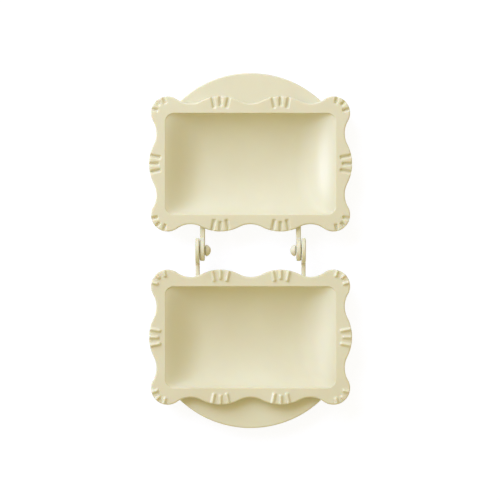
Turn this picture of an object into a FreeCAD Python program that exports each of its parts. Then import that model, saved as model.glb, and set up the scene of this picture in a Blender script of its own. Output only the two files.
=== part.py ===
import FreeCAD, Part
import math
import os

import Sketcher

# Empanada press, lying open and flat. Two mould halves are joined by a pair of
# plain plastic hinges. Each half is a mould, which is a wavy rim round a
# rectangular pocket, set on a frame, which is the dough cutter, finger tab and
# hinge arms in one piece. The base half has the crimping ridges and carries the
# hinge pins. The lid half has the grooves that the ridges press the dough into.
#
# Frame: X runs along the hinge, +Y points to the lid, +Z is up. The origin is on
# the table under the middle of the hinge.

V = FreeCAD.Vector

# Lengths that differ by less than this share of the rim's length are the same.
EXACT_SHARE = 1e-5

# Driving dimensions, in millimetres and degrees.
SIZES = {
    # Rim outline
    "rim_length": 122.0,
    "rim_width": 81.2,
    "wave_depth": 4.4,
    "bump_place_share": 0.36345,
    "bump_radius": 24.8,
    "side_bump_radius": 26.0,
    "lobe_radius": 10.0,
    "lobe_setback": 1.2,
    # Rim plate
    "rim_thickness": 2.4,
    "rim_chamfer": 0.8,
    # Pocket
    "end_border": 9.3,
    "side_border": 9.5,
    "pocket_depth": 14.2,
    "barrel_side_radius": 9.0,
    "end_run": 17.0,
    "foot_radius": 5.4,
    "mouth_chamfer": 0.4,
    "cup_wall": 1.8,
    # Crimping marks
    "mark_pitch": 5.05,
    "mark_length": 6.8,
    "mark_middle_cut": 1.0,
    "corner_mark_length": 4.8,
    "corner_mark_step": 31.5,
    "ridge_width": 2.3,
    "ridge_crest": 1.1,
    "ridge_height": 0.9,
    "ridge_setback": 0.4,
    "groove_margin": 0.2,
    # Cutter skirt of the frame
    "table_clearance": 1.0,
    "skirt_inset": 0.9,
    "skirt_wall": 1.7,
    "cutter_edge": 0.8,
    "cutter_bevel": 3.0,
    # Finger tab
    "tab_radius": 62.0,
    "tab_reach": 14.4,
    "tab_drop": 5.5,
    "tab_thickness": 2.4,
    "tab_rounding": 0.9,
    # Hinge
    "hinge_gap": 11.4,
    "axis_rise": 0.4,
    "arm_place": 27.4,
    "inner_arm_thickness": 2.9,
    "outer_arm_thickness": 2.5,
    "arm_side_clearance": 0.3,
    "inner_arm_radius": 6.3,
    "outer_arm_radius": 7.5,
    "arm_root_depth": 10.5,
    "arm_neck_rounding": 2.0,
    "arm_edge_chamfer": 0.5,
    # Pins
    "pin_radius": 2.0,
    "pin_running_clearance": 0.05,
    "pin_press": 0.02,
    "pin_head_radius": 3.5,
    "pin_head_height": 2.6,
    "pin_head_edge": 0.4,
    "pin_collar_radius": 3.0,
    "pin_collar_height": 0.5,
    "pin_head_clearance": 0.2,
    "pin_end_chamfer": 0.4,
    "pin_end_sink": 0.3,
    # How far a cut runs past what it cuts
    "overrun": 1.0,
}

os.makedirs("parts", exist_ok=True)
doc = FreeCAD.newDocument("empanada_press")


def make_sheet():
    """Write the driving dimensions as plain numbers with an alias each."""
    sheet = doc.addObject("Spreadsheet::Sheet", "sizes")
    for row, (name, number) in enumerate(SIZES.items(), start=1):
        sheet.set(f"A{row}", name)
        sheet.set(f"B{row}", str(number))
        sheet.setAlias(f"B{row}", name)
    doc.recompute()
    return sheet


sheet = make_sheet()


def size(name):
    """The number that the sheet holds under this alias."""
    return float(sheet.get(name))


def bind(thing, prop, formula):
    """Tie a property to the sheet. In the formula a bare word in braces is an alias."""
    thing.setExpression(prop, formula.replace("{", "sizes.").replace("}", ""))


def plane(body, role):
    """One of the body's own origin planes."""
    return next(item for item in body.Origin.OriginFeatures if item.Role == role)


def new_body(label):
    body = doc.addObject("PartDesign::Body", label)
    body.Label = label
    return body


def new_sketch(body, name, role):
    sketch = body.newObject("Sketcher::SketchObject", name)
    sketch.AttachmentSupport = [(plane(body, role), "")]
    sketch.MapMode = "FlatFace"
    return sketch


def edge_names(shape, test):
    """The names of the edges for which the test holds."""
    return [f"Edge{number}" for number, edge in enumerate(shape.Edges, start=1) if test(edge)]


def near(first, second):
    """True where two lengths are the same but for the kernel's own rounding."""
    return abs(first - second) < size("rim_length") * EXACT_SHARE


def flat_at(edge, height):
    """True where the whole edge lies level at this height."""
    box = edge.BoundBox
    return near(box.ZMin, height) and near(box.ZMax, height)


# The pocket fills the rim up to its borders. The bumps stand at a share of the
# way from the middle to the corner lobes.
POCKET_LENGTH = "({rim_length} - 2 * {end_border})"
POCKET_WIDTH = "({rim_width} - 2 * {side_border})"
BUMP_PLACE = "(({rim_length} / 2 - {lobe_setback} - {lobe_radius}) * {bump_place_share})"


def pocket_length():
    return size("rim_length") - 2 * size("end_border")


def pocket_width():
    return size("rim_width") - 2 * size("side_border")


def bump_place():
    return (size("rim_length") / 2 - size("lobe_setback") - size("lobe_radius")) * size("bump_place_share")


# Wavy outline

def valley_circle(first, second, level):
    """The circle that dips to the level and touches two round bumps from outside.

    Each bump is (along, out, radius): along the edge, outward from the middle.
    Returns the valley's own (along, out, radius).
    """
    def reach(bump, radius):
        along, out, bump_radius = bump
        rise = level - out
        return math.sqrt(bump_radius ** 2 - rise ** 2 + 2 * radius * (bump_radius - rise))

    span = second[0] - first[0]
    low, high = 0.0, 4 * span
    for _ in range(80):
        radius = (low + high) / 2
        if reach(first, radius) + reach(second, radius) < span:
            low = radius
        else:
            high = radius
    return first[0] + reach(first, radius), level + radius, radius


def wave_circles(inset):
    """Centres and radii round the rim outline drawn in by the inset.

    They run anticlockwise from the right side bump. Every second one is a valley.
    """
    half_length = size("rim_length") / 2 - inset
    half_width = size("rim_width") / 2 - inset
    depth = size("wave_depth")
    lobe = size("lobe_radius") - inset
    bump = size("bump_radius") - inset
    side = size("side_bump_radius") - inset
    lobe_x = half_length - size("lobe_setback") - lobe
    lobe_y = half_width - lobe
    bump_x = bump_place()
    bump_y = half_width - bump
    side_x = half_length - side

    end_y, end_x, end_radius = valley_circle((0.0, side_x, side), (lobe_y, lobe_x, lobe), half_length - depth)
    long_x, long_y, long_radius = valley_circle((bump_x, bump_y, bump), (lobe_x, lobe_y, lobe),
                                                half_width - depth)
    middle_x, middle_y, middle_radius = valley_circle((-bump_x, bump_y, bump), (bump_x, bump_y, bump),
                                                      half_width - depth)
    quarter = [(side_x, 0.0, side), (end_x, end_y, end_radius), (lobe_x, lobe_y, lobe),
               (long_x, long_y, long_radius), (bump_x, bump_y, bump)]
    middle = [(0.0, middle_y, middle_radius)]
    upper = quarter + middle + [(-x, y, r) for x, y, r in reversed(quarter)]
    lower = [(-x, -y, r) for x, y, r in upper]
    return upper + lower[1:-1]


def touch_point(first, second):
    """Where two circles that touch from outside meet."""
    share = first[2] / (first[2] + second[2])
    return V(first[0] + (second[0] - first[0]) * share, first[1] + (second[1] - first[1]) * share, 0)


def draw_wave(sketch, inset_name_sum):
    """Draw and constrain the wavy outline, drawn in by a sum of named sizes."""
    inset = sum(size(name) for name in inset_name_sum)
    inset_formula = " + ".join("{%s}" % name for name in inset_name_sum) or "0"
    circles = wave_circles(inset)
    count = len(circles)
    base = sketch.GeometryCount
    arcs = []
    for number, circle in enumerate(circles):
        before = touch_point(circles[number - 1], circle)
        after = touch_point(circle, circles[(number + 1) % count])
        if number % 2:
            before, after = after, before
        centre = V(circle[0], circle[1], 0)
        start = math.atan2(before.y - centre.y, before.x - centre.x)
        end = math.atan2(after.y - centre.y, after.x - centre.x)
        if end < start:
            end += 2 * math.pi
        arcs.append(Part.ArcOfCircle(Part.Circle(centre, V(0, 0, 1), circle[2]), start, end))
    sketch.addGeometry(arcs, False)

    rules = []
    for number in range(count):
        following = (number + 1) % count
        leaves = 1 if number % 2 else 2
        enters = 1 if number % 2 else 2
        rules.append(Sketcher.Constraint("Tangent", base + number, leaves, base + following, enters))
    sketch.addConstraint(rules)

    half_length = "{rim_length} / 2 - (%s)" % inset_formula
    half_width = "{rim_width} / 2 - (%s)" % inset_formula
    places = {
        "side": ("{rim_length} / 2 - {side_bump_radius}", None),
        "lobe": ("{rim_length} / 2 - {lobe_setback} - {lobe_radius}", "{rim_width} / 2 - {lobe_radius}"),
        "bump": (BUMP_PLACE, "{rim_width} / 2 - {bump_radius}"),
    }
    radii = {"side": "{side_bump_radius}", "lobe": "{lobe_radius}", "bump": "{bump_radius}"}
    kinds = {0: "side", 2: "lobe", 4: "bump", 6: "bump", 8: "lobe",
             10: "side", 12: "lobe", 14: "bump", 16: "bump", 18: "lobe"}
    first_of = {}
    for number, kind in kinds.items():
        arc = base + number
        x, y, radius = circles[number]
        across, up = places[kind]
        pin_centre(sketch, arc, "DistanceX", x, across)
        if up is None:
            sketch.addConstraint(Sketcher.Constraint("PointOnObject", arc, 3, -1))
        else:
            pin_centre(sketch, arc, "DistanceY", y, up)
        if kind in first_of:
            sketch.addConstraint(Sketcher.Constraint("Equal", first_of[kind], arc))
        else:
            first_of[kind] = arc
            named_rule(sketch, ("Radius", arc, radius), f"{kind}_radius_{arc}",
                       "%s - (%s)" % (radii[kind], inset_formula))

    # The valleys all dip to one construction rectangle.
    corner_x = size("rim_length") / 2 - inset - size("wave_depth")
    corner_y = size("rim_width") / 2 - inset - size("wave_depth")
    corners = [V(corner_x, -corner_y, 0), V(corner_x, corner_y, 0), V(-corner_x, corner_y, 0),
               V(-corner_x, -corner_y, 0)]
    lines = [Part.LineSegment(corners[i], corners[(i + 1) % 4]) for i in range(4)]
    box = sketch.GeometryCount
    sketch.addGeometry(lines, True)
    rules = [Sketcher.Constraint("Coincident", box + i, 2, box + (i + 1) % 4, 1) for i in range(4)]
    rules += [Sketcher.Constraint(("Vertical", "Horizontal")[i % 2], box + i) for i in range(4)]
    rules.append(Sketcher.Constraint("Symmetric", box, 2, box + 2, 2, -1, 1))
    sketch.addConstraint(rules)
    named_rule(sketch, ("DistanceX", -1, 1, box, 1, corner_x), f"valley_x_{box}",
               half_length + " - {wave_depth}")
    named_rule(sketch, ("DistanceY", -1, 1, box + 1, 1, corner_y), f"valley_y_{box}",
               half_width + " - {wave_depth}")
    side_of = {1: 0, 19: 0, 3: 1, 5: 1, 7: 1, 9: 2, 11: 2, 13: 3, 15: 3, 17: 3}
    sketch.addConstraint([Sketcher.Constraint("Tangent", base + valley, box + side)
                          for valley, side in side_of.items()])


def named_rule(sketch, rule, name, formula):
    """Add a sized constraint and tie it to the sheet."""
    index = sketch.addConstraint(Sketcher.Constraint(*rule))
    sketch.renameConstraint(index, name)
    bind(sketch, f"Constraints.{name}", formula)


def pin_centre(sketch, arc, way, value, formula):
    """Hold an arc's centre at a distance from the origin, on the side where it is."""
    ends = (-1, 1, arc, 3) if value > 0 else (arc, 3, -1, 1)
    named_rule(sketch, (way, *ends, abs(value)), f"{way.lower()}_{arc}", formula)


# Mould: rim plate, pocket cup and crimping marks, each half lying round its own
# middle with the rim's face at zero height and its outer side towards +Y.

def rim_plate(label):
    """The wavy plate, with its upper edge broken all round."""
    body = new_body(label)
    outline = new_sketch(body, label + "_outline", "XY_Plane")
    draw_wave(outline, [])
    plate = body.newObject("PartDesign::Pad", label + "_pad")
    plate.Profile = outline
    plate.Reversed = True
    bind(plate, "Length", "{rim_thickness}")
    doc.recompute()
    broken = body.newObject("PartDesign::Chamfer", label + "_broken")
    broken.Base = (plate, edge_names(plate.Shape, lambda edge: flat_at(edge, 0)))
    bind(broken, "Size", "{rim_chamfer}")
    doc.recompute()

    body.Tip = broken
    return body


def draw_barrel(sketch, wall):
    """The barrel from its end: three arcs that leave the mouth upright, and the mouth's level.

    The floor's wide arc reaches the pocket's depth and runs on smoothly into the two
    side arcs, whose middles lie on the mouth's level.
    """
    grown = size("cup_wall") if wall else 0
    added = "{cup_wall}" if wall else "0"
    half = pocket_width() / 2 + grown
    side = size("barrel_side_radius") + grown
    inward = half - side
    floor = inward ** 2 / (2 * (size("pocket_depth") - size("barrel_side_radius"))) \
        + (size("pocket_depth") + size("barrel_side_radius")) / 2 + grown
    rise = floor - size("pocket_depth") - grown
    turn = math.atan2(rise, inward)
    up = V(0, 0, 1)
    left, low, right, level = sketch.addGeometry(
        [Part.ArcOfCircle(Part.Circle(V(-inward, 0, 0), up, side), math.pi, math.pi + turn),
         Part.ArcOfCircle(Part.Circle(V(0, rise, 0), up, floor), math.pi + turn, 2 * math.pi - turn),
         Part.ArcOfCircle(Part.Circle(V(inward, 0, 0), up, side), -turn, 0),
         Part.LineSegment(V(half, 0, 0), V(-half, 0, 0))], False)
    sketch.addConstraint([Sketcher.Constraint("Tangent", left, 2, low, 1),
                          Sketcher.Constraint("Tangent", low, 2, right, 1),
                          Sketcher.Constraint("Coincident", right, 2, level, 1),
                          Sketcher.Constraint("Coincident", level, 2, left, 1),
                          Sketcher.Constraint("Symmetric", level, 1, level, 2, -1, 1),
                          Sketcher.Constraint("Horizontal", level),
                          Sketcher.Constraint("PointOnObject", left, 3, -1),
                          Sketcher.Constraint("PointOnObject", right, 3, -1),
                          Sketcher.Constraint("Equal", left, right)])
    named_rule(sketch, ("DistanceX", level, 2, level, 1, 2 * half), "mouth",
               POCKET_WIDTH + " + 2 * " + added)
    named_rule(sketch, ("Radius", left, side), "side", "{barrel_side_radius} + " + added)
    named_rule(sketch, ("Radius", low, floor), "floor",
               "(" + POCKET_WIDTH + " / 2 - {barrel_side_radius}) ^ 2"
               " / (2 * ({pocket_depth} - {barrel_side_radius}))"
               " + ({pocket_depth} + {barrel_side_radius}) / 2 + " + added)


def barrel(label, wall):
    """The hollow's form, grown by a wall: a barrel floor closed by two slanted ends.

    The barrel lies along X. The ends slope inwards as they go down, and a fillet runs
    along the curved foot line where each meets the floor, and so also rounds the four
    corners of the mouth.
    """
    grown = "{cup_wall}" if wall else "0"
    section = doc.addObject("Sketcher::SketchObject", label + "_section")
    draw_barrel(section, wall)
    section.Placement = FreeCAD.Placement(V(), FreeCAD.Rotation(V(1, 1, 1), 120))
    prism = doc.addObject("Part::Extrusion", label + "_prism")
    prism.Base = section
    prism.DirMode = "Custom"
    prism.Dir = V(1, 0, 0)
    prism.Solid = True
    prism.Symmetric = True
    bind(prism, "LengthFwd", POCKET_LENGTH + " + 4 * {cup_wall} + {overrun}")

    # The slanted ends stand square to the wall, so a wall moves them by more than itself.
    slant = "sqrt(1 + ({end_run} / {pocket_depth}) ^ 2)"
    mouth = "(" + POCKET_LENGTH + " / 2 + " + grown + " * " + slant + ")"
    floor = "({pocket_depth} + {cup_wall} + {overrun})"
    foot = mouth + " - {end_run} * " + floor + " / {pocket_depth}"
    side = "(" + POCKET_WIDTH + " / 2 + {cup_wall} + {overrun})"
    ends = doc.addObject("Part::Wedge", label + "_ends")
    ends.Placement = FreeCAD.Placement(V(), FreeCAD.Rotation(V(1, 0, 0), 90))
    bind(ends, "Xmin", "-(" + foot + ")")
    bind(ends, "Xmax", foot)
    bind(ends, "X2min", "-" + mouth)
    bind(ends, "X2max", mouth)
    bind(ends, "Ymin", "-" + floor)
    bind(ends, "Ymax", "0")
    for low, high in (("Zmin", "Zmax"), ("Z2min", "Z2max")):
        bind(ends, low, "-" + side)
        bind(ends, high, side)
    both = doc.addObject("Part::MultiCommon", label + "_both")
    both.Shapes = [prism, ends]
    doc.recompute()

    def is_foot(edge):
        box = edge.BoundBox
        return box.YLength > pocket_width() / 4 and box.ZLength > size("pocket_depth") / 4

    radius = size("foot_radius")
    rounded = doc.addObject("Part::Fillet", label)
    rounded.Base = both
    rounded.Edges = [(number, radius, radius)
                     for number, edge in enumerate(both.Shape.Edges, start=1) if is_foot(edge)]
    doc.recompute()
    return rounded


def mark_places():
    """Inner end, direction, named length and what is cut off it, for each crimping mark.

    Marks stand in threes on every bump and every corner lobe. They point away from
    the middle of the bump's own curve and are measured in from the rim's edge. The
    middle one of three is the shortest.
    """
    half_length = size("rim_length") / 2
    half_width = size("rim_width") / 2
    bump = size("bump_radius")
    side = size("side_bump_radius")
    lobe = size("lobe_radius")
    step = math.degrees(size("mark_pitch") / bump)
    side_step = math.degrees(size("mark_pitch") / side)
    bump_y = half_width - bump
    lobe_x = half_length - size("lobe_setback") - lobe
    lobe_y = half_width - lobe
    groups = []
    for right in (-1, 1):
        groups.append((right * (half_length - side), 0, side, 90 - 90 * right, side_step, "mark_length"))
        for up in (-1, 1):
            corner = math.degrees(math.atan2(up, right))
            groups.append((right * bump_place(), up * bump_y, bump, 90 * up, step, "mark_length"))
            groups.append((right * lobe_x, up * lobe_y, lobe, corner, size("corner_mark_step"),
                           "corner_mark_length"))
    places = []
    for x, y, radius, facing, turn, length_name in groups:
        for place in (-1, 0, 1):
            angle = math.radians(facing + place * turn)
            way = V(math.cos(angle), math.sin(angle), 0)
            cut_name = "{mark_middle_cut}" if place == 0 else "0"
            cut = size("mark_middle_cut") if place == 0 else 0
            start = radius - size(length_name) + cut
            places.append((V(x, y, 0) + way * start, way, length_name, cut_name))
    return places


def mark_strokes(label, grooved):
    """All the marks of one half as wedges: ridges stand up and grooves lie upside down.

    A wedge's nose and sides slope and its outer end is upright. It runs through the
    rim's face with the same slopes for as much again as it is high. Grooves run out
    through the rim's edge, and ridges end a little way behind it.
    """
    margin = "{groove_margin}" if grooved else "0"
    past_edge = "{overrun}" if grooved else "-{ridge_setback}"
    height = "({ridge_height} + " + margin + ")"
    foot = "({ridge_width} / 2 + " + margin + ")"
    crest = "({ridge_crest} / 2 + " + margin + ")"
    up = V(0, 0, -1 if grooved else 1)
    wedges = []
    for number, (inner, way, length, cut) in enumerate(mark_places(), start=1):
        wedge = doc.addObject("Part::Wedge", f"{label}_{number}")
        wedge.Placement = FreeCAD.Placement(inner, FreeCAD.Rotation(way, up, way.cross(up), "XYZ"))
        bind(wedge, "Xmin", "-" + height)
        bind(wedge, "Ymin", "-" + height)
        bind(wedge, "Zmin", crest + " - 2 * " + foot)
        bind(wedge, "Z2min", "-" + crest)
        bind(wedge, "X2min", height)
        bind(wedge, "Xmax", "{%s} - %s + %s" % (length, cut, past_edge))
        bind(wedge, "Ymax", height)
        bind(wedge, "Zmax", "2 * " + foot + " - " + crest)
        bind(wedge, "Z2max", crest)
        bind(wedge, "X2max", "{%s} - %s + %s" % (length, cut, past_edge))
        wedges.append(wedge)
    strokes = doc.addObject("Part::Compound", label)
    strokes.Links = wedges
    doc.recompute()
    return strokes


def mould(label, grooved):
    """One half's mould. The lid's marks are grooves and the base's are ridges."""
    plate = rim_plate(label + "_rim")
    cup = barrel(label + "_cup", True)
    core = barrel(label + "_core", False)
    filled = doc.addObject("Part::MultiFuse", label + "_filled")
    filled.Shapes = [plate, cup]
    hollow = doc.addObject("Part::Cut", label + "_hollow")
    hollow.Base = filled
    hollow.Tool = core
    doc.recompute()

    reach_x = pocket_length() / 2 + size("overrun")
    reach_y = pocket_width() / 2 + size("overrun")

    def is_mouth(edge):
        box = edge.BoundBox
        return flat_at(edge, 0) and box.XMax < reach_x and box.XMin > -reach_x \
            and box.YMax < reach_y and box.YMin > -reach_y

    broken = doc.addObject("Part::Chamfer", label + "_broken_mouth")
    broken.Base = hollow
    step = size("mouth_chamfer")
    broken.Edges = [(number, step, step)
                    for number, edge in enumerate(hollow.Shape.Edges, start=1) if is_mouth(edge)]
    doc.recompute()

    if grooved:
        finished = doc.addObject("Part::Cut", label)
        finished.Base = broken
        finished.Tool = mark_strokes(label + "_groove", grooved)
    else:
        finished = doc.addObject("Part::MultiFuse", label)
        finished.Shapes = [broken, mark_strokes(label + "_ridge", grooved)]
    finished.Label = label
    place_half(finished, grooved)
    doc.recompute()
    return finished


def place_half(thing, is_lid):
    """Carry a half from its own middle to its side of the hinge."""
    side = "" if is_lid else "-"
    bind(thing, "Placement.Base.y", side + "({rim_width} / 2 + {hinge_gap})")
    bind(thing, "Placement.Base.z", "{pocket_depth} + {cup_wall} + {table_clearance}")
    if not is_lid:
        thing.Placement = FreeCAD.Placement(V(), FreeCAD.Rotation(V(0, 0, 1), 180))


# Frame: cutter skirt, finger tab and hinge arms in one piece, lying like the mould.

def frame(label, is_lid):
    """One half's frame. The lid's arms lie between the base's arms."""
    kind = "inner" if is_lid else "outer"
    body = new_body(label)
    skirt_top = "-{rim_thickness}"
    skirt_foot = "({pocket_depth} + {cup_wall} + {table_clearance})"

    outer = new_sketch(body, label + "_skirt_outline", "XY_Plane")
    bind(outer, "AttachmentOffset.Base.z", skirt_top)
    draw_wave(outer, ["skirt_inset"])
    block = body.newObject("PartDesign::Pad", label + "_skirt")
    block.Profile = outer
    block.Reversed = True
    bind(block, "Length", skirt_foot + " - {rim_thickness}")

    # The tab is a flat cap of a large disc that stands out under the rim.
    tab_outline = new_sketch(body, label + "_tab_outline", "XY_Plane")
    bind(tab_outline, "AttachmentOffset.Base.z", "-{tab_drop}")
    draw_tab(tab_outline)
    tab = body.newObject("PartDesign::Pad", label + "_tab")
    tab.Profile = tab_outline
    tab.Reversed = True
    bind(tab, "Length", "{tab_thickness}")
    doc.recompute()
    round_tab(body, label, tab)

    arm_outline = new_sketch(body, label + "_arm_outline", "YZ_Plane")
    place = "{arm_place}" if is_lid else "{arm_place} + {inner_arm_thickness} + {arm_side_clearance}"
    bind(arm_outline, "AttachmentOffset.Base.z", place)
    draw_arm(arm_outline, kind)
    arm = body.newObject("PartDesign::Pad", label + "_arm")
    arm.Profile = arm_outline
    bind(arm, "Length", "{%s_arm_thickness}" % kind)
    doc.recompute()
    pair = body.newObject("PartDesign::Mirrored", label + "_arms")
    pair.Originals = [arm]
    pair.MirrorPlane = (plane(body, "YZ_Plane"), [""])
    doc.recompute()
    body.Tip = pair
    ease_arms(body, label, kind, pair)

    inner = new_sketch(body, label + "_skirt_inside", "XY_Plane")
    draw_wave(inner, ["skirt_inset", "skirt_wall"])
    inside = body.newObject("PartDesign::Pocket", label + "_inside")
    inside.Profile = inner
    inside.Type = 1
    inside.Midplane = True
    doc.recompute()

    # The wall thins to a cutting edge at its foot, from the inside.
    edge = new_sketch(body, label + "_edge_outline", "XY_Plane")
    bind(edge, "AttachmentOffset.Base.z", "-" + skirt_foot)
    draw_wave(edge, ["skirt_inset", "cutter_edge"])
    above = new_sketch(body, label + "_bevel_outline", "XY_Plane")
    bind(above, "AttachmentOffset.Base.z", "{cutter_bevel} - " + skirt_foot)
    draw_wave(above, ["skirt_inset", "skirt_wall"])
    bevel = body.newObject("PartDesign::SubtractiveLoft", label + "_bevel")
    bevel.Profile = edge
    bevel.Sections = [above]
    bevel.Ruled = True
    doc.recompute()

    bore_outline = new_sketch(body, label + "_bore_outline", "YZ_Plane")
    radius = "{pin_radius} + {pin_running_clearance}" if is_lid else "{pin_radius} - {pin_press}"
    value = size("pin_radius")
    axis_y = -(size("rim_width") / 2 + size("hinge_gap"))
    circle = bore_outline.addGeometry(
        Part.Circle(V(axis_y, size("axis_rise"), 0), V(0, 0, 1), value), False)
    named_rule(bore_outline, ("Radius", circle, value), "bore", radius)
    hold_on_axis(bore_outline, circle)
    bore = body.newObject("PartDesign::Pocket", label + "_bore")
    bore.Profile = bore_outline
    bore.Type = 1
    bore.Midplane = True
    doc.recompute()

    body.Tip = bore
    place_half(body, is_lid)
    doc.recompute()
    return body


def hold_on_axis(sketch, curve):
    """Tie a curve's centre to the hinge axis in a sketch seen along the hinge."""
    named_rule(sketch, ("DistanceX", curve, 3, -1, 1, size("rim_width") / 2 + size("hinge_gap")),
               f"axis_y_{curve}", "{rim_width} / 2 + {hinge_gap}")
    named_rule(sketch, ("DistanceY", -1, 1, curve, 3, size("axis_rise")), f"axis_z_{curve}", "{axis_rise}")


def ease_arms(body, label, kind, arms):
    """Fill the notch behind each eye and soften the arms' long edges."""
    axis_y = -(size("rim_width") / 2 + size("hinge_gap"))
    radius = size(f"{kind}_arm_radius")
    drop = size("rim_thickness") + size("axis_rise")
    notch_y = axis_y + math.sqrt(radius ** 2 - drop ** 2)

    def is_notch(edge):
        middle = edge.CenterOfMass
        return near(middle.y, notch_y) and near(middle.z, -size("rim_thickness"))

    necks = body.newObject("PartDesign::Fillet", label + "_necks")
    necks.Base = (arms, edge_names(arms.Shape, is_notch))
    bind(necks, "Radius", "{arm_neck_rounding}")
    doc.recompute()

    inner_face = size("arm_place") + (0 if kind == "inner" else
                                      size("inner_arm_thickness") + size("arm_side_clearance"))
    faces = (inner_face, inner_face + size(f"{kind}_arm_thickness"))

    def is_side(edge):
        middle = edge.CenterOfMass
        on_face = any(near(abs(middle.x), face) for face in faces)
        return on_face and isinstance(edge.Curve, Part.Circle) and middle.y < notch_y

    sides = body.newObject("PartDesign::Chamfer", label + "_arm_edges")
    sides.Base = (necks, edge_names(necks.Shape, is_side))
    bind(sides, "Size", "{arm_edge_chamfer}")
    doc.recompute()


def draw_tab(sketch):
    """A cap of a disc, closed by a chord that lies inside the skirt."""
    radius = size("tab_radius")
    top = size("rim_width") / 2 + size("tab_reach")
    centre = V(0, top - radius, 0)
    chord = size("rim_width") / 2 - size("skirt_inset") - size("skirt_wall") - size("lobe_radius")
    half = math.sqrt(radius ** 2 - (chord - centre.y) ** 2)
    right = V(half, chord, 0)
    left = V(-half, chord, 0)
    start = math.atan2(chord - centre.y, half)
    arc, line = sketch.addGeometry(
        [Part.ArcOfCircle(Part.Circle(centre, V(0, 0, 1), radius), start, math.pi - start),
         Part.LineSegment(left, right)], False)
    sketch.addConstraint([Sketcher.Constraint("Coincident", arc, 2, line, 1),
                          Sketcher.Constraint("Coincident", line, 2, arc, 1),
                          Sketcher.Constraint("Horizontal", line),
                          Sketcher.Constraint("PointOnObject", arc, 3, -2)])
    named_rule(sketch, ("Radius", arc, radius), "tab_radius", "{tab_radius}")
    above = "{rim_width} / 2 + {tab_reach} - {tab_radius}"
    if centre.y < 0:
        above = "{tab_radius} - {rim_width} / 2 - {tab_reach}"
        named_rule(sketch, ("DistanceY", arc, 3, -1, 1, -centre.y), "tab_centre", above)
    else:
        named_rule(sketch, ("DistanceY", -1, 1, arc, 3, centre.y), "tab_centre", above)
    named_rule(sketch, ("DistanceY", -1, 1, line, 1, chord), "chord",
               "{rim_width} / 2 - {skirt_inset} - {skirt_wall} - {lobe_radius}")


def round_tab(body, label, tab):
    """Round the tab's outer edge above and below."""
    radius = size("tab_radius")
    heights = (-size("tab_drop"), -size("tab_drop") - size("tab_thickness"))

    def is_rim(edge):
        curve = edge.Curve
        return isinstance(curve, Part.Circle) and near(curve.Radius, radius) \
            and any(flat_at(edge, height) for height in heights)

    rounding = body.newObject("PartDesign::Fillet", label + "_tab_rounding")
    rounding.Base = (tab, edge_names(tab.Shape, is_rim))
    bind(rounding, "Radius", "{tab_rounding}")
    doc.recompute()


def draw_arm(sketch, kind):
    """A hinge arm from the side: a round eye on a bracket that runs back into the skirt."""
    radius = size(f"{kind}_arm_radius")
    axis_y = -(size("rim_width") / 2 + size("hinge_gap"))
    axis_z = size("axis_rise")
    top = -size("rim_thickness")
    root = -size("arm_root_depth")
    back = -(size("rim_width") / 2 - size("skirt_inset") - size("wave_depth") - size("skirt_wall"))
    upper = V(axis_y + math.sqrt(radius ** 2 - (top - axis_z) ** 2), top, 0)
    # The lower line leaves the eye as a tangent through the root's corner.
    away = V(back - axis_y, root - axis_z, 0)
    turn = math.atan2(away.y, away.x) - math.acos(radius / away.Length)
    lower = V(axis_y + radius * math.cos(turn), axis_z + radius * math.sin(turn), 0)
    start = math.atan2(upper.y - axis_z, upper.x - axis_y)
    eye, under, end, over = sketch.addGeometry(
        [Part.ArcOfCircle(Part.Circle(V(axis_y, axis_z, 0), V(0, 0, 1), radius), start, turn + 2 * math.pi),
         Part.LineSegment(lower, V(back, root, 0)),
         Part.LineSegment(V(back, root, 0), V(back, top, 0)),
         Part.LineSegment(V(back, top, 0), upper)], False)
    sketch.addConstraint([Sketcher.Constraint("Tangent", eye, 2, under, 1),
                          Sketcher.Constraint("Coincident", under, 2, end, 1),
                          Sketcher.Constraint("Coincident", end, 2, over, 1),
                          Sketcher.Constraint("Coincident", over, 2, eye, 1),
                          Sketcher.Constraint("Vertical", end),
                          Sketcher.Constraint("Horizontal", over)])
    named_rule(sketch, ("Radius", eye, radius), "eye", "{%s_arm_radius}" % kind)
    hold_on_axis(sketch, eye)
    named_rule(sketch, ("DistanceY", over, 1, -1, 1, -top), "top", "{rim_thickness}")
    named_rule(sketch, ("DistanceY", under, 2, -1, 1, -root), "root", "{arm_root_depth}")
    named_rule(sketch, ("DistanceX", under, 2, -1, 1, -back), "back",
               "{rim_width} / 2 - {skirt_inset} - {wave_depth} - {skirt_wall}")


# Hinge pins: a dome and a collar inside the arms, and a shank out through both.

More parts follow.
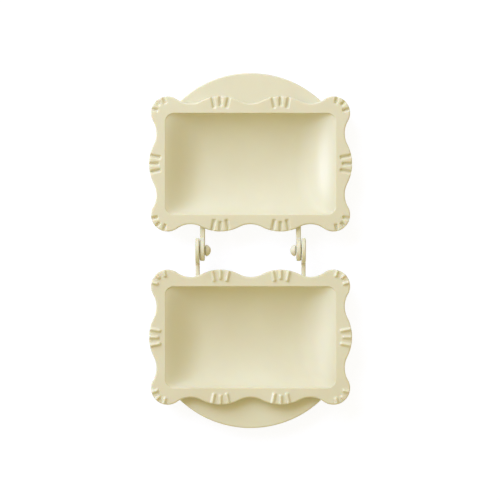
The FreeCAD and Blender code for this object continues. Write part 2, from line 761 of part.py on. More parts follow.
def pin(label, is_left):
    """A pin that points along +X from its dome. The left one is turned about."""
    body = new_body(label)
    profile = new_sketch(body, label + "_profile", "XZ_Plane")
    dome = size("pin_head_height")
    rim = size("pin_head_edge")
    head = size("pin_head_radius")
    collar = size("pin_collar_radius")
    collar_top = size("pin_collar_height")
    shank = size("pin_radius")
    chamfer = size("pin_end_chamfer")
    end = collar_top + size("pin_head_clearance") + size("inner_arm_thickness") \
        + size("arm_side_clearance") + size("outer_arm_thickness") - size("pin_end_sink")
    round_radius = (head ** 2 + dome ** 2) / (2 * dome)
    centre_x = -rim - dome + round_radius
    start = math.atan2(head, -rim - centre_x)
    points = [V(-rim, head, 0), V(0, head, 0), V(0, collar, 0), V(collar_top, collar, 0),
              V(collar_top, shank, 0), V(end - chamfer, shank, 0), V(end, shank - chamfer, 0),
              V(end, 0, 0), V(-rim - dome, 0, 0)]
    curve = Part.ArcOfCircle(Part.Circle(V(centre_x, 0, 0), V(0, 0, 1), round_radius), start, math.pi)
    lines = [Part.LineSegment(points[i], points[i + 1]) for i in range(len(points) - 1)]
    profile.addGeometry([curve] + lines, False)
    count = len(lines)
    rules = [Sketcher.Constraint("Coincident", 0, 1, 1, 1), Sketcher.Constraint("Coincident", count, 2, 0, 2)]
    rules += [Sketcher.Constraint("Coincident", i, 2, i + 1, 1) for i in range(1, count)]
    rules += [Sketcher.Constraint("Horizontal", i) for i in (1, 3, 5, 8)]
    rules += [Sketcher.Constraint("Vertical", i) for i in (2, 4, 7)]
    rules += [Sketcher.Constraint("PointOnObject", 0, 3, -1), Sketcher.Constraint("PointOnObject", 8, 1, -1),
              Sketcher.Constraint("PointOnObject", 2, 1, -2)]
    profile.addConstraint(rules)
    named_rule(profile, ("DistanceX", 1, 1, 1, 2, rim), "edge", "{pin_head_edge}")
    named_rule(profile, ("DistanceX", 8, 2, -1, 1, rim + dome), "dome", "{pin_head_edge} + {pin_head_height}")
    named_rule(profile, ("DistanceY", -1, 1, 1, 2, head), "head", "{pin_head_radius}")
    named_rule(profile, ("DistanceY", -1, 1, 3, 1, collar), "collar", "{pin_collar_radius}")
    named_rule(profile, ("DistanceX", -1, 1, 3, 2, collar_top), "collar_top", "{pin_collar_height}")
    named_rule(profile, ("DistanceY", -1, 1, 5, 1, shank), "shank", "{pin_radius}")
    named_rule(profile, ("DistanceX", 6, 1, 6, 2, chamfer), "chamfer_x", "{pin_end_chamfer}")
    named_rule(profile, ("DistanceY", 6, 2, 6, 1, chamfer), "chamfer_y", "{pin_end_chamfer}")
    named_rule(profile, ("DistanceX", -1, 1, 7, 1, end), "end",
               "{pin_collar_height} + {pin_head_clearance} + {inner_arm_thickness} + {arm_side_clearance}"
               " + {outer_arm_thickness} - {pin_end_sink}")
    turned = body.newObject("PartDesign::Revolution", label + "_turned")
    turned.Profile = profile
    turned.ReferenceAxis = (profile, ["H_Axis"])
    turned.Angle = 360
    doc.recompute()
    body.Tip = turned
    place = "{arm_place} - {pin_collar_height} - {pin_head_clearance}"
    if is_left:
        body.Placement = FreeCAD.Placement(V(), FreeCAD.Rotation(V(0, 0, 1), 180))
        place = "-(" + place + ")"
    bind(body, "Placement.Base.x", place)
    bind(body, "Placement.Base.z", "{pocket_depth} + {cup_wall} + {table_clearance} + {axis_rise}")
    doc.recompute()
    return body


def check_and_write(parts):
    """Stop at anything that failed, then write each piece to its own file."""
    for thing in doc.Objects:
        if "Invalid" in thing.State or "Error" in thing.State:
            raise RuntimeError(f"{thing.Label} failed: {thing.State}")
    for part in parts:
        shape = part.Shape
        if shape.isNull() or not shape.isValid() or len(shape.Solids) != 1:
            raise RuntimeError(f"{part.Label} is not one valid solid")
        shape.exportStep(f"parts/{part.Label}.step")
        print(part.Label, "volume", round(shape.Volume), "cubic mm")


parts = [
    mould("base_mould", False),
    frame("base_frame", False),
    pin("hinge_pin_left", True),
    pin("hinge_pin_right", False),
    mould("lid_mould", True),
    frame("lid_frame", True),
]
doc.recompute()
check_and_write(parts)
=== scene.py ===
# %% [markdown]
# # An empanada press, lying open
#
# The press is two moulded plastic halves on a pair of plain hinges. Each half is a
# wavy-edged mould with a deep pocket, set on a frame that has the dough cutter
# underneath, a finger tab at the far side and two hinge arms at the near side.
# This notebook loads the exact parts, gives them smooth moulded surfaces and a
# plastic finish, and sets a camera to look down on them from straight above.

# %% Load the parts
import bpy
import math
import numpy as np
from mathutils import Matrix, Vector


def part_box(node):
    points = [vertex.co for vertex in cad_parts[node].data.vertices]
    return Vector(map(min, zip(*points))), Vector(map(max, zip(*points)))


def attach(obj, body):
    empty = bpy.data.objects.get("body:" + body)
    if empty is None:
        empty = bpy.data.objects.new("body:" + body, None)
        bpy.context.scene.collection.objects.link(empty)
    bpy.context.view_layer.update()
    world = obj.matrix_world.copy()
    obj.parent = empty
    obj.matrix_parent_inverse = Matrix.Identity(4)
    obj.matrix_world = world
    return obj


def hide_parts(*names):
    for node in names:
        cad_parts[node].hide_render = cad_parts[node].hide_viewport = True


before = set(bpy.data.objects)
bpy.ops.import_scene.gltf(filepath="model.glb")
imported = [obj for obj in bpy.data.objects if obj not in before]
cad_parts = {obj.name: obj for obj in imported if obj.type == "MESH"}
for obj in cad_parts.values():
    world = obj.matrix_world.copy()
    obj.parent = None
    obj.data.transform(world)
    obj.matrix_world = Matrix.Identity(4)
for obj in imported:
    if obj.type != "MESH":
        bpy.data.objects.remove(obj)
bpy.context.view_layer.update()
print("parts:", sorted(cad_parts))

# %% [markdown]
# ## The camera
#
# The photograph looks straight down on the press and shows nothing of its side
# walls, so the camera was a long way off with a long lens. One pixel of the picture
# is 0.6 mm at the height of the rims. The middle of the press falls between two
# pixels, so the camera stands half a pixel to the side. A camera's own unit is the
# width of its sensor, so the lens follows from the width of the view and the
# distance. Blender's usual view bends the bright tones as film does, which would
# turn the white ground grey, so the Standard view is set.

# %% The camera, straight above
RIM_HEIGHT = 0.017
PIXEL = 0.0006
PICTURE_PIXELS = 500
CAMERA_RISE = 1.5
SENSOR = 0.036
CLIP_NEAR = 0.05
CLIP_FAR = 20

view_width = PIXEL * PICTURE_PIXELS
camera_data = bpy.data.cameras.new("camera_above")
camera_data.sensor_width = SENSOR * 1000
camera_data.lens = SENSOR * 1000 * CAMERA_RISE / view_width
camera_data.clip_start = CLIP_NEAR
camera_data.clip_end = CLIP_FAR
camera = bpy.data.objects.new("camera_above", camera_data)
camera.location = (-PIXEL / 2, PIXEL / 2, RIM_HEIGHT + CAMERA_RISE)
bpy.context.scene.collection.objects.link(camera)
bpy.context.scene.camera = camera
bpy.context.scene.view_settings.view_transform = "Standard"
print("lens in mm:", round(camera_data.lens, 1), "for a view", round(view_width, 3), "m wide")

# %% [markdown]
# ## The main light
#
# The shading in the pockets tells where the light stood. The upper and left walls
# are dark, the lower and right walls are bright, and the rim throws a soft, short
# shadow on the lower tab. So the main lamp stands at the upper left, about 55
# degrees down from overhead. A small lamp would draw hard edges, so it is over a
# metre wide and only 1.3 m away. It is bluish and the room is yellowish, which
# makes the shaded walls the deeper cream. Its own reflection would lie in the lower
# right of each pocket as a broad pale patch that the photograph doesn't have, so
# the lamp is hidden from reflections.

# %% A lamp that shines at the press
LAMP_AWAY = 1.3
OVERHEAD = Vector((0, 0, 1))


def area_lamp(name, towards, wide, tall, power, colour):
    """A flat lamp that stands in this direction from the press and shines at it."""
    data = bpy.data.lights.new(name, "AREA")
    data.shape = "RECTANGLE"
    data.size = wide
    data.size_y = tall
    data.energy = power
    data.color = colour
    lamp = bpy.data.objects.new(name, data)
    lamp.location = towards * LAMP_AWAY
    lamp.rotation_euler = towards.to_track_quat("Z", "Y").to_euler()
    bpy.context.scene.collection.objects.link(lamp)
    print(name, "stands", round(math.degrees(towards.angle(OVERHEAD))), "degrees from overhead")
    return lamp


# %% The large soft lamp
LAMP_TOWARDS = Vector((-0.91, 1.08, 1.0)).normalized()
LAMP_SIDE = 1.065
LAMP_POWER = 14.8
LAMP_COLOUR = (0.85, 1.01, 1.54)

soft_box = area_lamp("soft_box", LAMP_TOWARDS, LAMP_SIDE, LAMP_SIDE, LAMP_POWER, LAMP_COLOUR)
soft_box.visible_glossy = False

# %% [markdown]
# ## The highlight
#
# What does shine in the photograph is a thin bright crescent on the right-hand wall
# of each pocket, as from the bright edge of something low at the left. One could
# paint it into the plastic, but then it would stay put when the press turns. So a
# second lamp stands there, long and low. It is seen in reflections only, which adds
# the crescent and leaves all the other shading as it was.

# %% A narrow strip at the left
STRIP_TOWARDS = Vector((-1.0, 0.20, 0.12)).normalized()
STRIP_LONG = 0.5
STRIP_TALL = 0.09
STRIP_POWER = 5.0
STRIP_COLOUR = (0.85, 0.95, 1.35)

strip = area_lamp("strip", STRIP_TOWARDS, STRIP_LONG, STRIP_TALL, STRIP_POWER, STRIP_COLOUR)
strip.visible_diffuse = False

# %% [markdown]
# ## The white room
#
# A plain white room stands round the press and fills the shadows. As a light it is
# dim and warm. To the camera and in reflections it is pure white, as the ground of
# the photograph is. One colour can't be both, so the light path node asks what kind
# of ray has arrived, and a mix shader answers each kind with its own room.

# %% Helpers that tell the rays apart
WHITE = (1, 1, 1)


def seen_by(tree, *rays):
    """A value that is 1 for these kinds of ray and 0 for all others."""
    path = tree.nodes.new("ShaderNodeLightPath")
    value = path.outputs[rays[0]]
    for ray in rays[1:]:
        either = tree.nodes.new("ShaderNodeMath")
        either.operation = "MAXIMUM"
        tree.links.new(value, either.inputs[0])
        tree.links.new(path.outputs[ray], either.inputs[1])
        value = either.outputs[0]
    return value


def choose(tree, value, otherwise, chosen):
    """The second shader where the value is 1, and the first where it is 0."""
    mix = tree.nodes.new("ShaderNodeMixShader")
    tree.links.new(value, mix.inputs["Fac"])
    tree.links.new(otherwise, mix.inputs[1])
    tree.links.new(chosen, mix.inputs[2])
    return mix.outputs[0]


def shine(tree, kind, colour, strength):
    """A shader that gives off light: Background in a world, Emission in a material."""
    node = tree.nodes.new(kind)
    node.inputs["Color"].default_value = (*colour, 1)
    node.inputs["Strength"].default_value = strength
    return node.outputs[0]


# %% The room
ROOM_LEVEL = 0.546
ROOM_COLOUR = (1.11, 0.975, 0.555)

world = bpy.data.worlds.new("white_room")
bpy.context.scene.world = world
world.use_nodes = True
room = world.node_tree
room.nodes.clear()
room_light = shine(room, "ShaderNodeBackground", ROOM_COLOUR, ROOM_LEVEL)
room_white = shine(room, "ShaderNodeBackground", WHITE, 1.0)
room_seen = seen_by(room, "Is Camera Ray", "Is Glossy Ray", "Is Transmission Ray")
room_out = room.nodes.new("ShaderNodeOutputWorld")
room.links.new(choose(room, room_seen, room_light, room_white), room_out.inputs["Surface"])
print("room level", ROOM_LEVEL)

# %% [markdown]
# ## The floor
#
# The photograph's ground is plain white. A floor of real white paint would render
# as a light grey, so the floor is two materials in one. Light that bounces off it
# onto the press meets plain white paint. The camera and reflections meet a dark
# paint with a glow over it, which comes out white in the open and a little darker
# in the shadow of the press.

# %% A white floor that keeps the shadow
FLOOR_SIDE = 12.0
FLOOR_PAINT = (0.72, 0.72, 0.71)
FLOOR_SHADOW_PAINT = (0.18, 0.185, 0.24)
FLOOR_GLOW = 0.885


def matt(tree, colour):
    """A matt shader of this colour."""
    node = tree.nodes.new("ShaderNodeBsdfDiffuse")
    node.inputs["Color"].default_value = (*colour, 1)
    return node.outputs[0]


paper = bpy.data.materials.new("white_paper")
paper.use_nodes = True
paper_tree = paper.node_tree
paper_tree.nodes.clear()
both = paper_tree.nodes.new("ShaderNodeAddShader")
paper_tree.links.new(matt(paper_tree, FLOOR_SHADOW_PAINT), both.inputs[0])
paper_tree.links.new(shine(paper_tree, "ShaderNodeEmission", WHITE, FLOOR_GLOW), both.inputs[1])
floor_seen = seen_by(paper_tree, "Is Camera Ray", "Is Glossy Ray")
floor_look = choose(paper_tree, floor_seen, matt(paper_tree, FLOOR_PAINT), both.outputs[0])
paper_out = paper_tree.nodes.new("ShaderNodeOutputMaterial")
paper_tree.links.new(floor_look, paper_out.inputs["Surface"])

bpy.ops.object.select_all(action="DESELECT")
bpy.ops.mesh.primitive_plane_add(size=FLOOR_SIDE, location=(0, 0, 0))
floor = bpy.context.active_object
floor.name = "floor"
floor.data.materials.append(paper)
print("floor", FLOOR_SIDE, "m wide")

# %% [markdown]
# ## The plastic
#
# The whole press is moulded in one cream plastic with a soft gloss. Real moulded
# plastic is never quite even: the colour drifts a little over the length of a
# piece, the polish varies in patches, the surface sinks in faint waves of a few
# millimetres as it cools, and close up it has the pebbling of the mould steel. Four
# noise patterns on the object's own coordinates give these, each at its own real
# size, so they stay put when a half swings on its hinge. Pictures of a surface
# could do the same, but they would need the pieces unfolded flat first. A little of
# the light also goes in and spreads under the surface, red further than blue, which
# gives thin edges their warm look.

# %% Noise patterns
# Each has the size of a blotch in metres and its detail, and the second a roughness too.
COLOUR_NOISE = (0.045, 3.0)
POLISH_NOISE = (0.012, 4.0, 0.6)
SAG_NOISE = (0.006, 1.0)
PEBBLE_NOISE = (0.0006, 2.0)


def noise(tree, coordinates, size, detail, roughness=0.5):
    """A noise pattern whose blotches are about this size in metres."""
    pattern = tree.nodes.new("ShaderNodeTexNoise")
    pattern.inputs["Scale"].default_value = 1 / size
    pattern.inputs["Detail"].default_value = detail
    pattern.inputs["Roughness"].default_value = roughness
    tree.links.new(coordinates, pattern.inputs["Vector"])
    return pattern.outputs["Fac"]


# %% From noise to colour, polish and relief
# The ends are the noise values that stand for the lowest and highest that occur.
COLOUR_ENDS = (0.32, 0.68)
POLISH_ENDS = (0.3, 0.7)
BUMP_STRENGTH = 0.5


def drift(tree, pattern, dark, pale):
    """A colour that drifts between two tones."""
    ramp = tree.nodes.new("ShaderNodeValToRGB")
    for stop, position, tone in zip(ramp.color_ramp.elements, COLOUR_ENDS, (dark, pale)):
        stop.position = position
        stop.color = (*tone, 1)
    tree.links.new(pattern, ramp.inputs["Fac"])
    return ramp.outputs["Color"]


def spread(tree, pattern, low, high):
    """A value that varies between low and high."""
    change = tree.nodes.new("ShaderNodeMapRange")
    change.inputs["From Min"].default_value = POLISH_ENDS[0]
    change.inputs["From Max"].default_value = POLISH_ENDS[1]
    change.inputs["To Min"].default_value = low
    change.inputs["To Max"].default_value = high
    tree.links.new(pattern, change.inputs["Value"])
    return change.outputs["Result"]


def relief(tree, pattern, depth, under=None):
    """A relief of this depth in metres, laid over the one under it."""
    bump = tree.nodes.new("ShaderNodeBump")
    bump.inputs["Strength"].default_value = BUMP_STRENGTH
    bump.inputs["Distance"].default_value = depth
    tree.links.new(pattern, bump.inputs["Height"])
    if under is not None:
        tree.links.new(under, bump.inputs["Normal"])
    return bump.outputs["Normal"]


# %% The cream plastic
SAG_DEPTH = 0.00006
REFRACTION = 1.46
SCATTER_SHARE = 0.3
SCATTER_OF_RED_GREEN_BLUE = (1.0, 0.62, 0.28)
SCATTER_REACH = 0.003


def cream_plastic(name, dark, pale, polish, pebble):
    """Satin plastic of two tones, with its range of roughness and its pebble's depth in metres."""
    material = bpy.data.materials.new(name)
    material.use_nodes = True
    tree = material.node_tree
    shader = tree.nodes["Principled BSDF"]
    place = tree.nodes.new("ShaderNodeTexCoord").outputs["Object"]
    colour = drift(tree, noise(tree, place, *COLOUR_NOISE), dark, pale)
    roughness = spread(tree, noise(tree, place, *POLISH_NOISE), *polish)
    sag = relief(tree, noise(tree, place, *SAG_NOISE), SAG_DEPTH)
    surface = relief(tree, noise(tree, place, *PEBBLE_NOISE), pebble, under=sag)
    tree.links.new(colour, shader.inputs["Base Color"])
    tree.links.new(roughness, shader.inputs["Roughness"])
    tree.links.new(surface, shader.inputs["Normal"])
    shader.inputs["IOR"].default_value = REFRACTION
    shader.inputs["Subsurface Weight"].default_value = SCATTER_SHARE
    shader.inputs["Subsurface Radius"].default_value = SCATTER_OF_RED_GREEN_BLUE
    shader.inputs["Subsurface Scale"].default_value = SCATTER_REACH
    print(name, "made")
    return material


# %% Its three finishes
mould_plastic = cream_plastic(
    "mould_plastic",
    dark=(0.740, 0.680, 0.465),
    pale=(0.778, 0.727, 0.515),
    polish=(0.29, 0.34),
    pebble=0.000006,
)
# The frame is the same plastic as the mould. Its paler, greener tones are painted light that lifts the
# rim's shadow on the lower tab.
frame_plastic = cream_plastic(
    "frame_plastic",
    dark=(0.755, 0.707, 0.498),
    pale=(0.792, 0.752, 0.546),
    polish=(0.34, 0.42),
    pebble=0.00001,
)
pin_plastic = cream_plastic(
    "pin_plastic",
    dark=(0.760, 0.700, 0.500),
    pale=(0.795, 0.740, 0.550),
    polish=(0.25, 0.33),
    pebble=0.000005,
)

# %% [markdown]
# ## The wavy outline
#
# The rim of each half is a chain of arcs. Two wide bumps stand on each long side,
# one on each end and a tighter lobe at each corner, and a shallow valley runs from
# each to the next. Traced by hand it would wobble. Here only the bumps are given,
# and each valley is the one circle that touches both of its neighbours and dips to
# a given depth. Its radius is found by halving the range in which it must lie.

# %% The measures of one mould
MM = 0.001
mould_low, mould_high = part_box("lid_mould")
RIM_LENGTH = mould_high.x - mould_low.x
RIM_WIDTH = mould_high.y - mould_low.y
HALF_PLACE = (mould_high.y + mould_low.y) / 2
WAVE_DEPTH = 4.4 * MM
BUMP_RADIUS = 24.8 * MM
SIDE_BUMP_RADIUS = 26.0 * MM
LOBE_RADIUS = 10.0 * MM
LOBE_SETBACK = 1.2 * MM
BUMP_SHARE = 0.36345
LOBE_X = RIM_LENGTH / 2 - LOBE_SETBACK - LOBE_RADIUS
LOBE_Y = RIM_WIDTH / 2 - LOBE_RADIUS
BUMP_X = LOBE_X * BUMP_SHARE
BUMP_Y = RIM_WIDTH / 2 - BUMP_RADIUS
SIDE_X = RIM_LENGTH / 2 - SIDE_BUMP_RADIUS
print("rim in mm:", round(RIM_LENGTH / MM, 1), "by", round(RIM_WIDTH / MM, 1))

# %% The valley between two bumps
# The widest valley has a radius of this many times the way from bump to bump.
WIDEST_VALLEY = 4
HALVINGS = 60


def valley(first, second, level):
    """Along, out and radius of the circle that dips to the level and touches both bumps."""
    def reach(bump, radius):
        rise = level - bump[1]
        return math.sqrt(bump[2] ** 2 - rise ** 2 + 2 * radius * (bump[2] - rise))

    span = second[0] - first[0]
    low, high = 0.0, WIDEST_VALLEY * span
    for _ in range(HALVINGS):
        radius = (low + high) / 2
        if reach(first, radius) + reach(second, radius) < span:
            low = radius
        else:
            high = radius
    return first[0] + reach(first, radius), level + radius, radius


# %% All the arcs round the rim
def outline_circles():
    """Middle and radius of every arc round the rim. Every second one is a valley."""
    side = (SIDE_X, 0, SIDE_BUMP_RADIUS)
    lobe = (LOBE_X, LOBE_Y, LOBE_RADIUS)
    bump = (BUMP_X, BUMP_Y, BUMP_RADIUS)
    end_level = RIM_LENGTH / 2 - WAVE_DEPTH
    long_level = RIM_WIDTH / 2 - WAVE_DEPTH
    # On an end the way along is y and the way out is x, so the two change places.
    end_y, end_x, end_radius = valley((side[1], side[0], side[2]), (lobe[1], lobe[0], lobe[2]), end_level)
    long_valley = valley(bump, lobe, long_level)
    _, middle_y, middle_radius = valley((-BUMP_X, BUMP_Y, BUMP_RADIUS), bump, long_level)
    quarter = [side, (end_x, end_y, end_radius), lobe, long_valley, bump]
    other_quarter = [(-x, y, radius) for x, y, radius in reversed(quarter)]
    upper = quarter + [(0, middle_y, middle_radius)] + other_quarter
    lower = [(-x, -y, radius) for x, y, radius in upper]
    return upper + lower[1:-1]


circles = outline_circles()
valley_radii = sorted({round(radius / MM, 1) for _, _, radius in circles[1::2]})
print(len(circles), "arcs, the valleys with radii in mm of", valley_radii)

# %% Walk round the outline
STEP = 0.4 * MM
LEAST_STEPS = 4


def touch(first, second):
    """Where two circles that touch from outside meet."""
    share = first[2] / (first[2] + second[2])
    return first[0] + (second[0] - first[0]) * share, first[1] + (second[1] - first[1]) * share


def walk_outline(circles):
    """Points about one step apart round the rim, and the way out at each."""
    points, ways = [], []
    for number, (x, y, radius) in enumerate(circles):
        is_valley = number % 2 == 1
        start = touch(circles[number - 1], circles[number])
        end = touch(circles[number], circles[(number + 1) % len(circles)])
        first = math.atan2(start[1] - y, start[0] - x)
        turn = math.atan2(end[1] - y, end[0] - x) - first
        turn = -(-turn % math.tau) if is_valley else turn % math.tau
        count = max(LEAST_STEPS, round(abs(turn) * radius / STEP))
        side = -1 if is_valley else 1
        for place in range(count):
            angle = first + turn * place / count
            points.append((x + radius * math.cos(angle), y + radius * math.sin(angle)))
            ways.append((side * math.cos(angle), side * math.sin(angle)))
    return np.array(points), np.array(ways)


edge, edge_way = walk_outline(circles)
print(len(edge), "points round the rim")

# %% [markdown]
# ## The pocket
#
# The pocket is a soft barrel. Cut across, it is nearly half an ellipse, with steep
# long walls. Along its length the ends come down in a lazy S: a ramp at the mouth,
# steepest about 7 mm in, then easing out into the floor. That S gives the
# photograph its dark crescent at the left end and the bright one at the right. Both
# curves are formulas, and the depth at a point is their product. The S also gets
# shorter towards the long walls, so that the corners are rounded in depth too. A
# shaped block cut out of the mould would leave the same hollow, but a formula is
# easier to correct against the photograph.

# %% The mouth of the pocket
END_BORDER = 9.8 * MM
SIDE_BORDER = 10.1 * MM
MOUTH_X = RIM_LENGTH / 2 - END_BORDER
MOUTH_Y = RIM_WIDTH / 2 - SIDE_BORDER
MOUTH_CORNER = 5.2 * MM
CUP_WALL = 1.7 * MM


def mouth_points(points, wall):
    """The nearest point of the mouth's rounded rectangle to each point outside it, and the way out."""
    core = np.array([MOUTH_X - MOUTH_CORNER, MOUTH_Y - MOUTH_CORNER])
    inner = np.clip(points, -core, core)
    out = points - inner
    out /= np.linalg.norm(out, axis=1)[:, None]
    return inner + out * (MOUTH_CORNER + wall), out


mouth, mouth_way = mouth_points(edge, 0)
cup, _ = mouth_points(edge, CUP_WALL)
print("mouth in mm:", round(2 * MOUTH_X / MM, 1), "by", round(2 * MOUTH_Y / MM, 1))

# %% The depth of the pocket
POCKET_DEPTH = 14.7 * MM
END_RUN = 27.5 * MM
END_EASE = 2.0
CORNER_RUN_SHARE = 0.6
BARREL_POWER = 1.975
BARREL_ROOT = 1.835


def pocket_depth(x, y, wall):
    """Depth below the rim of the pocket's face, or of the cup's outside one wall further out."""
    across = np.clip(np.abs(y) / (MOUTH_Y + wall), 0, 1)
    barrel = (1 - across ** BARREL_POWER) ** (1 / BARREL_ROOT)
    run = END_RUN * (CORNER_RUN_SHARE + (1 - CORNER_RUN_SHARE) * barrel)
    along = np.clip((MOUTH_X + wall - np.abs(x)) / run, 0, 1)
    lazy_s = 1 - (1 - along) ** 3 * (1 + END_EASE * along)
    return (POCKET_DEPTH + wall) * barrel * lazy_s


halfway = pocket_depth(MOUTH_X - END_RUN / 2, 0, 0)
print("depth in mm halfway down an end:", round(float(halfway) / MM, 1))

# %% [markdown]
# ## The crimping marks
#
# Three short marks stand on every bump and lobe and point away from the middle of
# its curve. On the base they are ridges and on the lid they are grooves, so that
# the two press a crimp into the pastry between them. Each could be a small block
# joined to the rim, but a moulded mark is a rounded wave with no seam. So it is
# given as a height that is added to the rim: half a cosine across the mark, easing
# in at its inner end and running out through the rim's edge.

# %% Where the marks stand
MARK_PITCH = 5.05 * MM
MARK_LENGTH = 7.3 * MM
MARK_CORNER_LENGTH = 4.8 * MM
MARK_MIDDLE_CUT = 0.8 * MM
MARK_CORNER_STEP = math.radians(31.5)


def mark_groups():
    """Middle, radius and facing of each bump that has marks, their angle apart and their length."""
    side_step = MARK_PITCH / SIDE_BUMP_RADIUS
    bump_step = MARK_PITCH / BUMP_RADIUS
    groups = []
    for right in (-1, 1):
        facing = math.atan2(0, right)
        groups.append((right * SIDE_X, 0, SIDE_BUMP_RADIUS, facing, side_step, MARK_LENGTH))
        for up in (-1, 1):
            facing = math.atan2(up, 0)
            groups.append((right * BUMP_X, up * BUMP_Y, BUMP_RADIUS, facing, bump_step, MARK_LENGTH))
            facing = math.atan2(up, right)
            groups.append((right * LOBE_X, up * LOBE_Y, LOBE_RADIUS, facing,
                           MARK_CORNER_STEP, MARK_CORNER_LENGTH))
    return groups


def mark_places():
    """Inner end and direction of each mark, three to a group."""
    places = []
    for x, y, radius, facing, step, length in mark_groups():
        for place in (-1, 0, 1):
            angle = facing + place * step
            start = radius - length + (MARK_MIDDLE_CUT if place == 0 else 0)
            way = (math.cos(angle), math.sin(angle))
            places.append((x + way[0] * start, y + way[1] * start, way))
    return places


print(len(mark_places()), "marks on each half")

# %% The height of the marks
MARK_WIDTH = 3.1 * MM
MARK_NOSE = 1.3 * MM


def mark_share(x, y):
    """How much of a mark's full height stands at each point, from 0 to 1."""
    share = np.zeros_like(x)
    for start_x, start_y, way in mark_places():
        along = (x - start_x) * way[0] + (y - start_y) * way[1]
        across = (x - start_x) * way[1] - (y - start_y) * way[0]
        side = np.clip(np.abs(across) / (MARK_WIDTH / 2), 0, 1)
        nose = np.clip(along / MARK_NOSE, 0, 1)
        wave = (1 + np.cos(math.pi * side)) / 2
        ease = (1 - np.cos(math.pi * nose)) / 2
        share = np.maximum(share, wave * ease)
    return share


marked = mark_share(edge[:, 0], edge[:, 1]) > 0
print("marks take", round(100 * float(marked.mean())), "percent of the rim's edge")

# %% [markdown]
# ## Wrap a sheet round the mould
#
# The mould is one closed skin. Picture a sheet of small squares rolled up like a
# sleeve: its columns go once round the rim, and its rows go from the middle of the
# pocket's floor, up the wall, over the lip, across the rim, round its edge and back
# underneath to the middle of the cup. One grid with every point carried to its
# place gives clean, even faces that follow the form, where cutting the pocket out
# of a block would leave long thin triangles that shade badly.

# %% Helpers for the rows of the sheet
def at_height(flat, height):
    """A row of points at this height, or these heights, over the rim."""
    return np.column_stack([flat, np.broadcast_to(height, len(flat))])


def quarter_turn(steps):
    """The angles from nothing to a right angle, for a rounded edge."""
    return [math.pi / 2 * step / steps for step in range(steps + 1)]


# %% The pocket and its lip
LIP = 0.2 * MM
POCKET_ROWS = 26
LIP_ROWS = 3


def pocket_rows():
    """From the middle of the floor up the wall, then over the lip."""
    rows = []
    for row in range(POCKET_ROWS):
        flat = mouth * math.sin(math.pi / 2 * row / POCKET_ROWS)
        depth = pocket_depth(flat[:, 0], flat[:, 1], 0) * (1 - LIP / POCKET_DEPTH)
        rows.append(at_height(flat, -LIP - depth))
    for turn in quarter_turn(LIP_ROWS):
        flat = mouth + mouth_way * LIP * (1 - math.cos(turn))
        rows.append(at_height(flat, -LIP * (1 - math.sin(turn))))
    return rows


print(len(pocket_rows()), "rows in the pocket and over its lip")

# %% The rim, its edge and the marks
EDGE_ROUND = 0.9 * MM
RIDGE_HEIGHT = 1.3 * MM
GROOVE_DEPTH = 1.45 * MM
RIM_ROWS = 25
EDGE_ROWS = 6


def rim_rows():
    """Across the flat of the rim and round its upper edge, with no marks yet."""
    lip_outer = mouth + mouth_way * LIP
    edge_inner = edge - edge_way * EDGE_ROUND
    rows = []
    for row in range(1, RIM_ROWS):
        rows.append(at_height(lip_outer + (edge_inner - lip_outer) * row / RIM_ROWS, 0))
    for turn in quarter_turn(EDGE_ROWS):
        flat = edge - edge_way * EDGE_ROUND * (1 - math.sin(turn))
        rows.append(at_height(flat, -EDGE_ROUND * (1 - math.cos(turn))))
    return rows


def press_marks(rows, grooved):
    """Sink the grooves into the rows, or raise the ridges, which fade out down the edge."""
    for row in rows:
        share = mark_share(row[:, 0], row[:, 1])
        if grooved:
            row[:, 2] = np.minimum(row[:, 2], -GROOVE_DEPTH * share)
        else:
            fallen = np.clip(-row[:, 2] / EDGE_ROUND, 0, 1)
            row[:, 2] += RIDGE_HEIGHT * share * (1 - fallen)
    return rows


print(len(rim_rows()), "rows across the rim and round its edge")

# %% The underside
FOOT_ROUND = 0.3 * MM
RIM_THICKNESS = 2.4 * MM
FOOT_ROWS = 3
UNDER_ROWS = 3
CUP_ROWS = 14


def under_rows():
    """Round the rim's lower edge, in under the rim and down the cup to its middle."""
    rows = []
    for turn in quarter_turn(FOOT_ROWS):
        flat = edge - edge_way * FOOT_ROUND * (1 - math.cos(turn))
        rows.append(at_height(flat, -RIM_THICKNESS + FOOT_ROUND * (1 - math.sin(turn))))
    foot_inner = edge - edge_way * FOOT_ROUND
    for row in range(1, UNDER_ROWS):
        rows.append(at_height(foot_inner + (cup - foot_inner) * row / UNDER_ROWS, -RIM_THICKNESS))
    for row in range(CUP_ROWS + 1):
        flat = cup * math.cos(math.pi / 2 * row / CUP_ROWS)
        depth = pocket_depth(flat[:, 0], flat[:, 1], CUP_WALL)
        rows.append(at_height(flat, -np.maximum(RIM_THICKNESS, depth)))
    return rows


print(len(under_rows()), "rows underneath")

# %% [markdown]
# ## The two moulds
#
# The two halves are alike, so one function makes both: the base is the lid turned
# half round, with ridges in place of grooves. Blender's flat grid is the sheet. The
# row and column of each of its points are read from where it lies, the point goes
# to its place, and merging doubled points closes the seam and both middles.

# %% Close the skin
MERGE = 0.000002


def pick(piece):
    """Select this object alone and make it the active one."""
    bpy.ops.object.select_all(action="DESELECT")
    piece.select_set(True)
    bpy.context.view_layer.objects.active = piece


def close_skin(piece):
    """Merge doubled points, turn the faces outwards and shade them smooth."""
    pick(piece)
    bpy.ops.object.mode_set(mode="EDIT")
    bpy.ops.mesh.select_all(action="SELECT")
    bpy.ops.mesh.remove_doubles(threshold=MERGE)
    bpy.ops.mesh.normals_make_consistent(inside=False)
    bpy.ops.object.mode_set(mode="OBJECT")
    bpy.ops.object.shade_smooth()


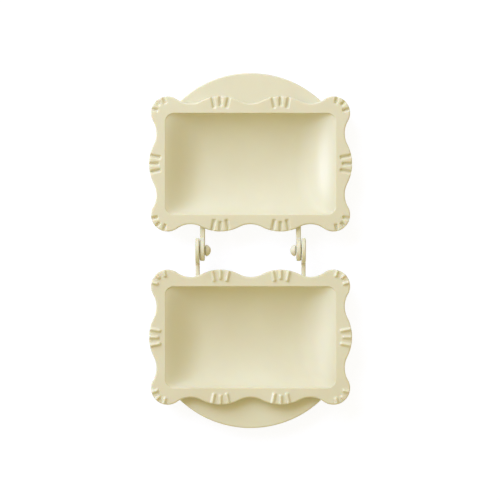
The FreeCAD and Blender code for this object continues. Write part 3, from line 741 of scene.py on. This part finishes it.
# %% Wrap one mould
def grid_numbers(mesh, down, around):
    """Row and column of every point of a flat grid that is 1 m wide about its middle."""
    flat = np.zeros(len(mesh.vertices) * 3)
    mesh.vertices.foreach_get("co", flat)
    flat = flat.reshape(-1, 3)
    column = np.rint((flat[:, 0] + 0.5) * around).astype(int) % around
    row = np.rint((flat[:, 1] + 0.5) * (down - 1)).astype(int)
    return row, column


def wrap_mould(name, side, grooved):
    """One mould. Side is 1 for the lid and -1 for the base, which is the lid turned about."""
    rows = np.array(pocket_rows() + press_marks(rim_rows(), grooved) + under_rows())
    down, around = rows.shape[:2]
    bpy.ops.object.select_all(action="DESELECT")
    bpy.ops.mesh.primitive_grid_add(x_subdivisions=around, y_subdivisions=down - 1, size=1)
    piece = bpy.context.active_object
    piece.name = name
    places = rows[grid_numbers(piece.data, down, around)]
    places[:, :2] *= side
    places[:, 1] += side * HALF_PLACE
    places[:, 2] += RIM_HEIGHT
    piece.data.vertices.foreach_set("co", places.ravel())
    piece.data.update()
    close_skin(piece)
    print(name, len(piece.data.polygons), "faces")
    return piece


# %% Both moulds
MOULDS = [
    ("lid_mould", "lid_pocket_mould", 1, True, "lid"),
    ("base_mould", "base_pocket_mould", -1, False, "base"),
]
for node, name, side, grooved, body in MOULDS:
    mould = wrap_mould(name, side, grooved)
    mould.data.materials.append(mould_plastic)
    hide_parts(node)
    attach(mould, body)

# %% [markdown]
# ## Smooth copies of the frames and pins
#
# The frame of a half is its dough cutter, finger tab and hinge arms in one
# moulding, and the pins are plain and domed. Their exact shapes need nothing new,
# only clean shading. An exact part comes in as loose triangles, which would shine
# like a cut stone. A copy of it has its doubled corners merged, so that its faces
# know their neighbours, and the triangles of each flat face made one face again.
# Then it is shaded smooth across all edges but the sharp ones. The last step weighs
# each corner's normal by the size of the faces round it, so that a large flat stays
# truly flat next to its small rounded edge.

# %% Make a clean copy
FLAT = math.radians(0.2)


def clean_copy(node, name, material):
    """A merged copy of an exact part, with its finish."""
    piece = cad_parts[node].copy()
    piece.data = piece.data.copy()
    piece.name = name
    piece.parent = None
    # A copy also takes over the notes that tie the part to the exact model.
    for note in list(piece.keys()):
        del piece[note]
    bpy.context.scene.collection.objects.link(piece)
    pick(piece)
    bpy.ops.object.mode_set(mode="EDIT")
    bpy.ops.mesh.select_all(action="SELECT")
    bpy.ops.mesh.remove_doubles(threshold=MERGE)
    bpy.ops.mesh.dissolve_limited(angle_limit=FLAT)
    bpy.ops.object.mode_set(mode="OBJECT")
    piece.data.materials.clear()
    piece.data.materials.append(material)
    print(name, len(piece.data.polygons), "faces")
    return piece


# %% Shade it smooth
SHARP = math.radians(32)
SIZE_WEIGHT = 80


def shade(piece):
    """Smooth shading with sharp edges kept and true flats."""
    pick(piece)
    bpy.ops.object.shade_smooth_by_angle(angle=SHARP, keep_sharp_edges=False)
    weigh = piece.modifiers.new("weigh", "WEIGHTED_NORMAL")
    weigh.keep_sharp = True
    weigh.weight = SIZE_WEIGHT
    bpy.ops.object.modifier_apply(modifier="weigh")


# %% The frames and pins
# The frames' finish carries painted light: a paler tone that lifts the rim's shadow on the tabs.
PIECES = [
    ("base_frame", "base_cutter_frame", frame_plastic, "frame_plastic", "base"),
    ("lid_frame", "lid_cutter_frame", frame_plastic, "frame_plastic", "lid"),
    ("hinge_pin_left", "left_hinge_pin", pin_plastic, "pin_plastic", "base"),
    ("hinge_pin_right", "right_hinge_pin", pin_plastic, "pin_plastic", "base"),
]
for node, name, material, slot, body in PIECES:
    piece = clean_copy(node, name, material)
    shade(piece)
    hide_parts(node)
    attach(piece, body)
